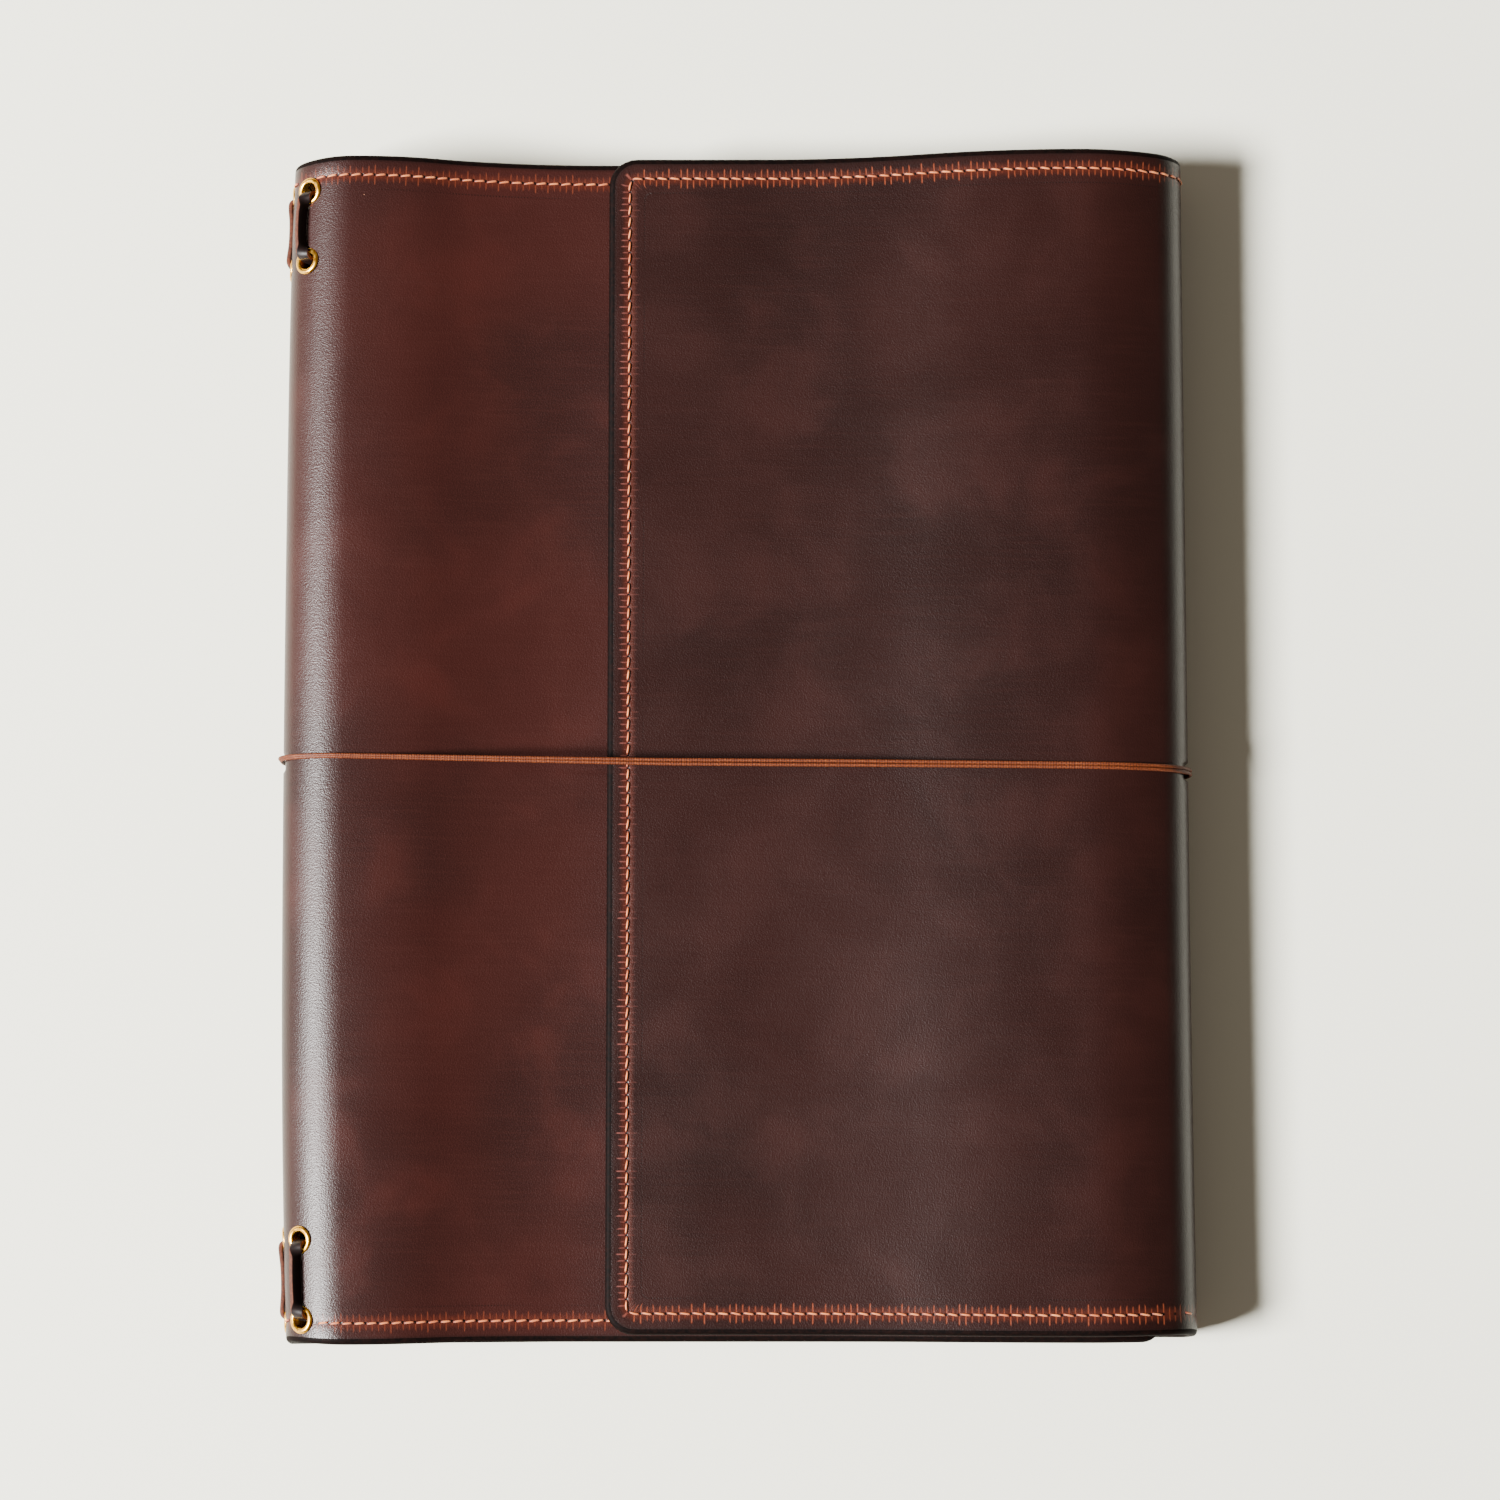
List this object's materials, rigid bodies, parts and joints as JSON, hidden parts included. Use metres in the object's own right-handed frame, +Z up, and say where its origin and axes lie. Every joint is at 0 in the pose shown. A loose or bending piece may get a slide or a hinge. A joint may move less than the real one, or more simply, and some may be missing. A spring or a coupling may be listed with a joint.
{
  "type": "notebook cover",
  "caption": "Leather notebook cover with a fold-over flap, laced spine, stitched edges and an elastic band, holding a notebook.",
  "frame": {"origin": "middle of the bounding box on the surface that the back cover lies on", "axes": "+X from the spine towards the fore-edge, +Y from foot to head along the spine, +Z up, out of the front"},
  "size_m": [0.2409, 0.3146, 0.0298],
  "materials": {
    "hide": "waxed pull-up leather, red-brown, semi-gloss with burnished dark edges",
    "lining": "matt smooth lining leather",
    "sleeve": "matt smooth leather",
    "thread": "waxed orange thread",
    "eyelet": "polished brass",
    "lace": "dark waxed lace with a tan cut edge",
    "elastic": "ribbed elastic cord, russet",
    "card": "matt card board, stands in for paper board",
    "paper": "uncoated cream paper",
    "tape": "woven binding cloth"
  },
  "bodies": {
    "back": {"back_cover_leather": "hide", "back_cover_lining": "lining", "back_sleeve": "sleeve", "back_seam_thread": "thread", "notebook_back_cover": "card", "notebook_pages": "paper", "notebook_front_cover": "card", "notebook_spine_tape": "tape"},
    "spine": {"spine_leather": "hide", "spine_lining": "lining", "spine_seam_thread": "thread", "spine_eyelets": "eyelet", "eyelet_washers": "eyelet", "head_lace": "lace", "foot_lace": "lace"},
    "front_cover": {"front_cover_leather": "hide", "front_cover_lining": "lining", "front_sleeve": "sleeve", "front_seam_thread": "thread"},
    "fore_edge": {"fore_edge_leather": "hide", "fore_edge_lining": "lining", "fore_edge_seam_thread": "thread"},
    "flap": {"flap_leather": "hide", "flap_lining": "lining", "flap_seam_thread": "thread"},
    "closure": {"elastic_closure_cord": "elastic", "cord_splice": "elastic"}
  },
  "joints": [
    {"name": "spine_hinge", "type": "hinge", "parent": "back", "child": "spine", "pos_m": [-0.116, 0, 0.0052], "axis": [0, -1, 0], "range_deg": [0, 90], "deforming": ["spine_leather", "spine_lining", "spine_seam_thread"]},
    {"name": "front_cover_hinge", "type": "hinge", "parent": "spine", "child": "front_cover", "pos_m": [-0.1156, 0, 0.0236], "axis": [0, -1, 0], "range_deg": [0, 90]},
    {"name": "fore_edge_hinge", "type": "hinge", "parent": "back", "child": "fore_edge", "pos_m": [0.11615, 0, 0.00315], "axis": [0, 1, 0], "range_deg": [0, 90], "deforming": ["fore_edge_leather", "fore_edge_lining", "fore_edge_seam_thread"]},
    {"name": "flap_hinge", "type": "hinge", "parent": "fore_edge", "child": "flap", "pos_m": [0.11518, 0, 0.02498], "axis": [0, 1, 0], "range_deg": [0, 90], "deforming": ["flap_leather", "flap_lining", "flap_seam_thread"]},
    {"name": "closure_slide", "type": "slide", "parent": "back", "child": "closure", "axis": [0, 1, 0], "range_m": [0, 0.2], "deforming": ["elastic_closure_cord", "cord_splice"]}
  ],
  "couplings": [
    {"joint": "front_cover_hinge", "follows": "spine_hinge", "ratio": 1},
    {"joint": "fore_edge_hinge", "follows": "spine_hinge", "ratio": 1},
    {"joint": "flap_hinge", "follows": "spine_hinge", "ratio": 1},
    {"joint": "closure_slide", "follows": "spine_hinge", "m_per_rad": 0.1273}
  ]
}
